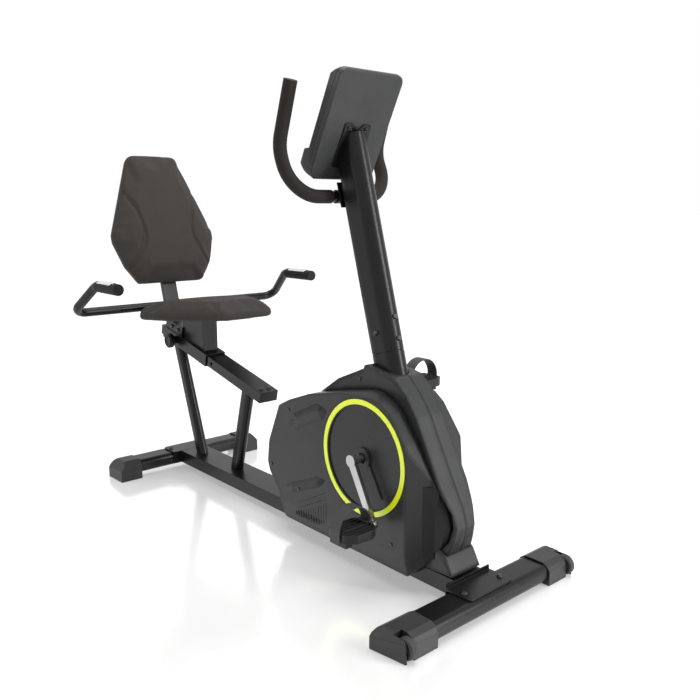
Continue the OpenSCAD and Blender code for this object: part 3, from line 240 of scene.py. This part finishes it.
def stuffed(obj, pinned, cap):
    """Blows obj up as cloth, with the pinned points held and no point moved more than cap."""
    start = [v.co.copy() for v in obj.data.vertices]
    group = obj.vertex_groups.new(name="held")
    for i in pinned:
        group.add([i], 1.0, "ADD")
    cloth = obj.modifiers.new("cloth", "CLOTH")
    facts = cloth.settings
    facts.quality = 5
    facts.mass = CLOTH_MASS
    facts.tension_stiffness = facts.compression_stiffness = CLOTH_STRETCH
    facts.bending_stiffness = CLOTH_BEND
    facts.use_pressure = True
    facts.uniform_pressure_force = CLOTH_PRESSURE
    facts.effector_weights.gravity = 0
    facts.vertex_group_mass = "held"
    for step in range(1, CLOTH_STEPS + 1):
        scene.frame_set(step)
    shown = obj.evaluated_get(bpy.context.evaluated_depsgraph_get())
    ends = [v.co.copy() for v in shown.data.vertices]
    obj.modifiers.remove(cloth)
    obj.vertex_groups.clear()
    scene.frame_set(1)
    for v, a, b in zip(obj.data.vertices, start, ends):
        move = b - a
        if move.length > cap:
            move *= cap / move.length
        v.co = a + move


def crease(p, path, width, depth):
    """How far a sewn line along path pulls the cover in at p."""
    best = min((p - closest(p, a, b)).length for a, b in zip(path, path[1:]))
    return depth * math.exp(-(best / width) ** 2)


def closest(p, a, b):
    run = b - a
    return a + run * max(0.0, min(1.0, (p - a).dot(run) / run.length_squared))


def cushion(name, node, place, up, body, lines, crown):
    """A padded piece in place of a CAD node, in the frame place, with up as its thickness axis."""
    inward = place.inverted()
    source = nodes[node]
    mesh = source.data.copy()
    mesh.transform(inward)
    obj = bpy.data.objects.new(name, mesh)
    scene.collection.objects.link(obj)
    low = min(v.co[up] for v in mesh.vertices)
    high = max(v.co[up] for v in mesh.vertices)
    flat = [a for a in range(3) if a != up]
    middle = [(min(v.co[a] for v in mesh.vertices) + max(v.co[a] for v in mesh.vertices)) / 2
              for a in flat]
    half = [max(abs(v.co[a] - m) for v in mesh.vertices) for a, m in zip(flat, middle)]
    for v in mesh.vertices:
        for a, m in zip(flat, middle):
            v.co[a] = m + (v.co[a] - m) * START_ACROSS
        v.co[up] = low + (v.co[up] - low) * START_THICK
    modified(obj, kind="REMESH", mode="VOXEL", voxel_size=VOXEL, use_smooth_shade=True)
    modified(obj, **SMOOTHING)
    held_below = low + (high - low) * HELD_SHARE
    stuffed(obj, [v.index for v in obj.data.vertices if v.co[up] < held_below], SWELL_CAP)
    modified(obj, **SMOOTHING)
    for a, m, h in zip(flat, middle, half):
        now_low = min(v.co[a] for v in obj.data.vertices)
        now_high = max(v.co[a] for v in obj.data.vertices)
        for v in obj.data.vertices:
            v.co[a] = m + ((v.co[a] - now_low) / (now_high - now_low) * 2 - 1) * h
    now_low = min(v.co[up] for v in obj.data.vertices)
    for v in obj.data.vertices:
        v.co[up] += (low - now_low) * max(0.0, 1 - (v.co[up] - now_low) / (high - low))
    modified(obj, kind="SUBSURF", levels=1)
    thick = high - low
    for v in obj.data.vertices:
        u = [(v.co[a] - m) / h for a, m, h in zip(flat, middle, half)]
        share = max(0.0, (v.co[up] - low) / thick - CROWN_FROM)
        rise = crown * max(0.0, 1 - (u[0] ** 2 + u[1] ** 2)) * share
        pull = sum(crease(Vector((v.co[flat[0]], v.co[flat[1]], 0)), line, SEAM_WIDTH, SEAM_DEPTH)
                   for line in lines) * min(1, share * 3)
        swell = LUMPS * noise.noise(v.co * LUMP_SCALE) * share
        v.co[up] = min(v.co[up] + rise - pull + swell, high + PROUD)
        v.co[up] = max(v.co[up], low)
    obj.data.transform(place)
    obj.data.materials.clear()
    obj.data.materials.append(materials["cushion"])
    obj.data.polygons.foreach_set("use_smooth", [True] * len(obj.data.polygons))
    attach(obj, body)
    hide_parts(node)


# each cushion's own frame starts at the middle of its rear or lower edge
seat_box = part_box("seat_cushion")
SEAT_TILT, BACK_LEAN = math.radians(4), math.radians(16)
SEAT_REAR = Vector((seat_box[0].x + 0.003, 0, 0.523))
BACK_FOOT = Vector((CRANK.x - 1.05809, 0, 0.628))
seat_place = Matrix.Translation(SEAT_REAR) @ Matrix.Rotation(-SEAT_TILT, 4, "Y")
back_place = Matrix.Translation(BACK_FOOT) @ Matrix.Rotation(-BACK_LEAN, 4, "Y")
cushion("seat_pad", "seat_cushion", seat_place, up=2, body="seat", lines=[], crown=0.012)
# sewn lines of the backrest's side bolsters, across and up its face
BOLSTER = [(0.128, 0.305), (0.104, 0.245), (0.088, 0.185), (0.088, 0.145), (0.112, 0.095),
           (0.140, 0.056)]
back_lines = [[Vector((side * y, z, 0)) for y, z in BOLSTER] for side in (-1, 1)]
cushion("back_pad", "back_cushion", back_place, up=0, body="seat", lines=back_lines,
        crown=0.008)


# ---- casing details, measured from the crank axis in X and the floor in Z ----
CASING_FACE = 0.092
SUNK = 0.0006          # how deep a ridge's edge lies in the casing
RIDGE_STEPS = 24
# across a ridge, from below to above: the share of its width, and of its height
RIDGE_PROFILE = [(-1.0, 0.0), (-0.5, 0.35), (-0.12, 0.86), (0.0, 1.0), (0.12, 0.86), (0.5, 0.35),
                 (1.0, 0.0)]


def on_casing(x, z, y):
    return Vector((CRANK.x + x, y, z))


def ridge(name, a, b, above, below, height, side):
    """A soft ridge moulded on the casing from a to b, sloping away above and below it."""
    a, b = Vector(a), Vector(b)
    run = (b - a).normalized()
    across = Vector((-run.y, run.x))
    verts, faces = [], []
    for i in range(RIDGE_STEPS + 1):
        share = i / RIDGE_STEPS
        fade = min(1.0, 5 * min(share, 1 - share) + 0.02)
        for offset, lift in RIDGE_PROFILE:
            width = (above if offset > 0 else below) * (0.4 + 0.6 * fade)
            p = a + (b - a) * share + across * offset * width
            y = CASING_FACE - SUNK + height * lift * fade
            verts.append(on_casing(p.x, p.y, side * y))
    n = len(RIDGE_PROFILE)
    for i in range(RIDGE_STEPS):
        for k in range(n - 1):
            q = [i * n + k, i * n + k + 1, (i + 1) * n + k + 1, (i + 1) * n + k]
            faces.append(q if side < 0 else q[::-1])
        q = [i * n + n - 1, i * n, (i + 1) * n, (i + 1) * n + n - 1]
        faces.append(q if side < 0 else q[::-1])
    faces.append(list(range(n)) if side > 0 else list(range(n))[::-1])
    last = [RIDGE_STEPS * n + k for k in range(n)]
    faces.append(last[::-1] if side > 0 else last)
    piece(name, verts, faces, "dark_plastic", "frame")


# name, ends, widths above and below, height
CREASES = [("upper", (-0.300, 0.300), (-0.120, 0.384), 0.055, 0.030, 0.0018),
           ("lower", (-0.326, 0.124), (-0.128, 0.202), 0.022, 0.030, 0.0018)]
LOUVRES = [((-0.258, 0.101), (-0.126, 0.170)), ((-0.262, 0.084), (-0.122, 0.155))]
LOUVRE_HALF, LOUVRE_HEIGHT = 0.002, 0.0018
RIBS, RIB_FIRST, RIB_PITCH = 13, -0.262, 0.0105
RIB_TOP, RIB_SLOPE, RIB_FOOT, RIB_LONG = 0.078, 0.52, 0.064, 0.060
RIB_HALF, RIB_HEIGHT = 0.0022, 0.0016

for side, word in ((-1, "right"), (1, "left")):
    for which, a, b, above, below, height in CREASES:
        ridge(f"casing_crease_{which}_{word}", a, b, above, below, height, side)
    for k, (a, b) in enumerate(LOUVRES):
        ridge(f"casing_step_{k}_{word}", a, b, LOUVRE_HALF, LOUVRE_HALF, LOUVRE_HEIGHT, side)
    for k in range(RIBS):
        x = RIB_FIRST + RIB_PITCH * k
        top = RIB_TOP + (x - RIB_FIRST) * RIB_SLOPE
        ridge(f"casing_rib_{k}_{word}", (x, top), (x, max(RIB_FOOT, top - RIB_LONG)),
              RIB_HALF, RIB_HALF, RIB_HEIGHT, side)

# the dark nose between the side panels and the central cover: one plan outline at each height
NOSE_SIDE = [(0.140, 0.076), (0.148, 0.079), (0.173, 0.065), (0.197, 0.050)]
NOSE_FRONT = [(0.092, 0.200), (0.110, 0.214), (0.140, 0.224), (0.170, 0.229), (0.200, 0.223),
              (0.230, 0.210), (0.262, 0.196)]
NOSE_TIP, NOSE_TIP_HALF, NOSE_CORNER_HALF = 0.006, 0.034, 0.0455
verts, faces = [], []
for z, reach in NOSE_FRONT:
    half = NOSE_SIDE + [(reach - NOSE_TIP, NOSE_CORNER_HALF), (reach, NOSE_TIP_HALF)]
    for x, y in half + [(x, -y) for x, y in reversed(half)]:
        verts.append(on_casing(x, z, y))
count = 2 * len(half)
for i in range(len(NOSE_FRONT) - 1):
    for k in range(count):
        j = (k + 1) % count
        faces.append([i * count + j, i * count + k, (i + 1) * count + k, (i + 1) * count + j])
faces.append(list(range(count)))
faces.append([(len(NOSE_FRONT) - 1) * count + k for k in range(count)][::-1])
piece("casing_nose", verts, faces, "black_plastic", "frame", smooth=False)


# ---- room, light and camera ----
REACH = 60.0
FLOOR_DROP = 0.0005
FLOOR_NEAR, FLOOR_FAR = 0.9, 2.6         # from the bike's middle: where the floor starts to whiten
GLOW_NEAR, GLOW_FAR = 0.32, 0.52
FLOOR_GREY, POLISH, POLISH_ROUGH = 0.5, 0.42, 0.16
AMBIENT = 0.22                           # the room's light, though the room is seen as white

floor_mesh = bpy.data.meshes.new("floor")
floor_mesh.from_pydata([(-REACH, -REACH, 0), (REACH, -REACH, 0), (REACH, REACH, 0),
                        (-REACH, REACH, 0)], [], [(0, 1, 2, 3)])
floor = bpy.data.objects.new("floor", floor_mesh)
floor.location.z = -FLOOR_DROP
scene.collection.objects.link(floor)
white = bpy.data.materials.new("white_floor")
white.use_nodes = True
floor_tree = white.node_tree
floor_tree.nodes.remove(floor_tree.nodes["Principled BSDF"])
matte = floor_tree.nodes.new("ShaderNodeBsdfDiffuse")
socket(matte, "Color", (FLOOR_GREY, FLOOR_GREY, FLOOR_GREY, 1))
glow = floor_tree.nodes.new("ShaderNodeEmission")
spot = floor_tree.nodes.new("ShaderNodeTexCoord")
away = floor_tree.nodes.new("ShaderNodeVectorMath")
away.operation = "LENGTH"
fade = floor_tree.nodes.new("ShaderNodeMapRange")
socket(fade, "From Min", FLOOR_NEAR)
socket(fade, "From Max", FLOOR_FAR)
socket(fade, "To Min", GLOW_NEAR)
socket(fade, "To Max", GLOW_FAR)
floor_tree.links.new(spot.outputs["Object"], away.inputs[0])
floor_tree.links.new(away.outputs["Value"], fade.inputs["Value"])
floor_tree.links.new(fade.outputs["Result"], glow.inputs["Strength"])
polish = floor_tree.nodes.new("ShaderNodeBsdfGlossy")
socket(polish, "Color", (POLISH, POLISH, POLISH, 1))
socket(polish, "Roughness", POLISH_ROUGH)
first = floor_tree.nodes.new("ShaderNodeAddShader")
second = floor_tree.nodes.new("ShaderNodeAddShader")
floor_tree.links.new(matte.outputs[0], first.inputs[0])
floor_tree.links.new(glow.outputs[0], first.inputs[1])
floor_tree.links.new(first.outputs[0], second.inputs[0])
floor_tree.links.new(polish.outputs[0], second.inputs[1])
floor_tree.links.new(second.outputs[0], floor_tree.nodes["Material Output"].inputs["Surface"])
floor.data.materials.append(white)

world = bpy.data.worlds.new("studio")
scene.world = world
world.use_nodes = True
tree = world.node_tree
sky = tree.nodes["Background"]
socket(sky, "Color", (1, 1, 1, 1))
socket(sky, "Strength", AMBIENT)
seen = tree.nodes.new("ShaderNodeBackground")
socket(seen, "Color", (1, 1, 1, 1))
socket(seen, "Strength", 1.0)
path = tree.nodes.new("ShaderNodeLightPath")
mix = tree.nodes.new("ShaderNodeMixShader")
either = tree.nodes.new("ShaderNodeMath")
either.operation = "MAXIMUM"
tree.links.new(path.outputs["Is Camera Ray"], either.inputs[0])
tree.links.new(path.outputs["Is Glossy Ray"], either.inputs[1])
tree.links.new(either.outputs[0], mix.inputs["Fac"])
tree.links.new(sky.outputs[0], mix.inputs[1])
tree.links.new(seen.outputs[0], mix.inputs[2])
tree.links.new(mix.outputs[0], tree.nodes["World Output"].inputs["Surface"])


def softbox(name, at, aim, width, height, power):
    """A soft rectangular studio light at a place, turned to aim."""
    light = bpy.data.lights.new(name, "AREA")
    light.shape = "RECTANGLE"
    light.size, light.size_y = width, height
    light.energy = power
    lamp = bpy.data.objects.new(name, light)
    lamp.location = at
    lamp.rotation_mode = "QUATERNION"
    lamp.rotation_quaternion = (Vector(aim) - Vector(at)).to_track_quat("-Z", "Y")
    scene.collection.objects.link(lamp)


softbox("overhead", (0.2, 0.2, 3.4), (0, 0, 0.4), 3.0, 3.0, 105)
softbox("console_side", (3.4, 1.6, 1.7), (0.2, 0, 0.6), 0.7, 2.6, 110)
softbox("near_side", (-2.2, -3.2, 2.2), (0, 0, 0.5), 1.8, 1.4, 30)

AZIMUTH, ELEVATION = math.radians(48.76), math.radians(10.69)
CAMERA_AT = (CRANK.x + 1.284, -1.256, 0.880)
LENS, SENSOR = 39.28, 36.0

camera_data = bpy.data.cameras.new("camera")
camera = bpy.data.objects.new("camera", camera_data)
scene.collection.objects.link(camera)
back = Vector((math.sin(AZIMUTH) * math.cos(ELEVATION),
               -math.cos(AZIMUTH) * math.cos(ELEVATION), math.sin(ELEVATION)))
camera.location = CAMERA_AT
camera.rotation_mode = "QUATERNION"
camera.rotation_quaternion = (-back).to_track_quat("-Z", "Y")
camera_data.lens = LENS
camera_data.sensor_width = SENSOR
scene.camera = camera
scene.view_settings.view_transform = "Standard"
